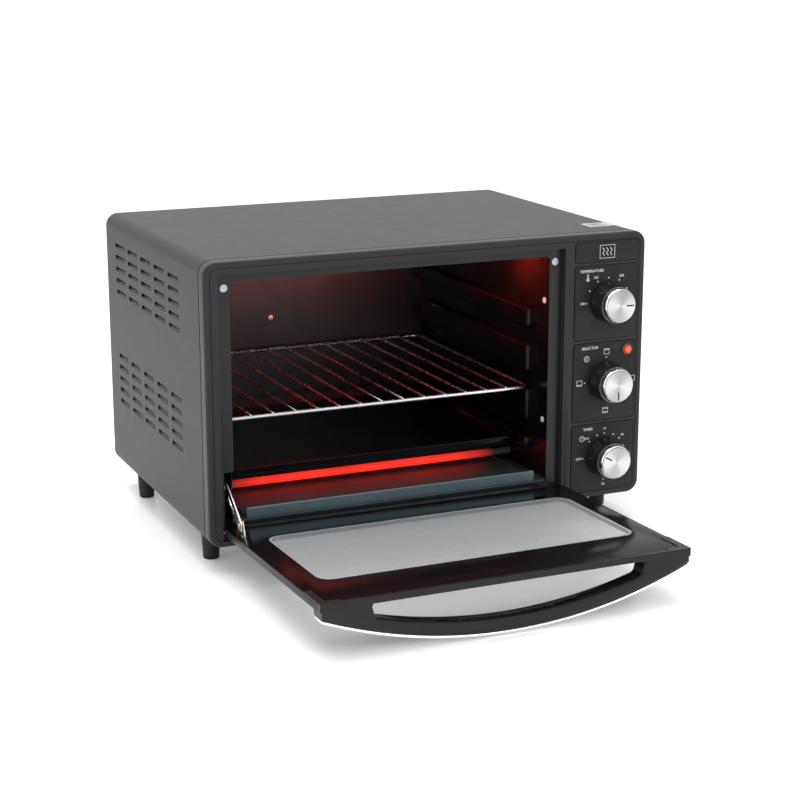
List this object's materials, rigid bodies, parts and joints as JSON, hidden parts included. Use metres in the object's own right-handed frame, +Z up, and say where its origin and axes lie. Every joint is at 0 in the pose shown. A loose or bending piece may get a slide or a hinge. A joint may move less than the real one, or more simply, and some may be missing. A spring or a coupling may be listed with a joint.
{
  "type": "toaster oven",
  "caption": "Countertop toaster oven with a drop-down glass door, bow handle, control strip of knobs, rod heaters, wire rack, baking tray and crumb tray.",
  "frame": {"origin": "middle of the whole oven in plan with its door open, on the surface the feet stand on", "axes": "+Z up, +Y to the back of the oven, -Y out of the door, +X to the control strip's side"},
  "size_m": [0.5, 0.6271, 0.3221],
  "materials": {
    "bezel_paint": "satin",
    "shell_paint": "satin",
    "zinc_sheet": "satin",
    "dark_enamel": "gloss",
    "fixings": "satin",
    "copper_rivet": "satin",
    "heater_sheath": "glowing",
    "collar_white": "matte",
    "chrome": "polished",
    "door_glass": "polished",
    "handle_plastic": "satin",
    "knob_black": "gloss",
    "cap_aluminium": "brushed",
    "lamp_red": "gloss",
    "lamp_case": "matte",
    "foot_rubber": "matte"
  },
  "bodies": {
    "oven": {"front_bezel": "bezel_paint", "badge_plate": "bezel_paint", "temperature_plate": "bezel_paint", "selector_plate": "bezel_paint", "timer_plate": "bezel_paint", "control_bracket": "zinc_sheet", "thermostat": "handle_plastic", "selector_switch": "handle_plastic", "timer_mechanism": "cap_aluminium", "indicator_lens": "lamp_red", "indicator_lamp": "lamp_case", "cavity_front_frame": "dark_enamel", "frame_screws": "fixings", "cavity_left_wall": "dark_enamel", "cavity_right_wall": "dark_enamel", "cavity_roof": "dark_enamel", "cavity_floor": "zinc_sheet", "cavity_back_wall": "dark_enamel", "cavity_fixings": "fixings", "heaters_lower": "heater_sheath", "heaters_upper": "heater_sheath", "heater_collars": "collar_white", "heater_terminals": "fixings", "outer_shell": "shell_paint", "base_pan": "zinc_sheet", "back_panel": "zinc_sheet", "back_panel_screws": "fixings", "cord_gland": "handle_plastic", "terminal_block": "handle_plastic", "heat_shield": "zinc_sheet", "top_label": "cap_aluminium", "feet": "foot_rubber", "foot_screws": "fixings", "hinge_pins": "fixings", "spring_anchor": "zinc_sheet"},
    "door": {"door_glass": "door_glass", "door_foot_rail": "dark_enamel", "door_rail_left": "dark_enamel", "door_rail_right": "dark_enamel", "door_handle": "handle_plastic", "handle_trim": "chrome", "handle_screws": "fixings", "link_bracket": "fixings", "link_rivet": "copper_rivet"},
    "door_link": {"door_link": "fixings", "link_spring": "fixings"},
    "rack": {"wire_rack": "chrome"},
    "baking_tray": {"baking_tray": "dark_enamel"},
    "crumb_tray": {"crumb_tray": "zinc_sheet"},
    "temperature_knob": {"temperature_knob": "knob_black", "temperature_knob_cap": "cap_aluminium", "temperature_spindle": "fixings"},
    "selector_knob": {"selector_knob": "knob_black", "selector_knob_cap": "cap_aluminium", "selector_spindle": "fixings"},
    "timer_knob": {"timer_knob": "knob_black", "timer_knob_cap": "cap_aluminium", "timer_spindle": "fixings"}
  },
  "joints": [
    {"name": "door_hinge", "type": "hinge", "parent": "oven", "child": "door", "pos_m": [-0.04125, -0.0497, 0.0442], "axis": [1, 0, 0], "range_deg": [-88.4, 0]},
    {"name": "link_pivot", "type": "hinge", "parent": "door", "child": "door_link", "pos_m": [-0.22675, -0.07819, 0.0592], "axis": [1, 0, 0], "range_deg": [-0.5, 93.78]},
    {"name": "rack_slide", "type": "slide", "parent": "oven", "child": "rack", "axis": [0, -1, 0], "range_m": [0, 0.2]},
    {"name": "baking_tray_slide", "type": "slide", "parent": "oven", "child": "baking_tray", "axis": [0, -1, 0], "range_m": [0, 0.2]},
    {"name": "crumb_tray_slide", "type": "slide", "parent": "oven", "child": "crumb_tray", "axis": [0, -1, 0], "range_m": [0, 0.14]},
    {"name": "temperature_turn", "type": "hinge", "parent": "oven", "child": "temperature_knob", "pos_m": [0.205, -0.051, 0.2472], "axis": [0, 1, 0], "range_deg": [-210, 30]},
    {"name": "selector_turn", "type": "hinge", "parent": "oven", "child": "selector_knob", "pos_m": [0.205, -0.051, 0.15955], "axis": [0, 1, 0], "range_deg": [-90, 180]},
    {"name": "timer_turn", "type": "hinge", "parent": "oven", "child": "timer_knob", "pos_m": [0.205, -0.051, 0.0741], "axis": [0, 1, 0], "range_deg": [-28, 242]}
  ],
  "couplings": [
    {"joint": "link_pivot", "follows": "door_hinge", "ratio": -1.0553}
  ]
}
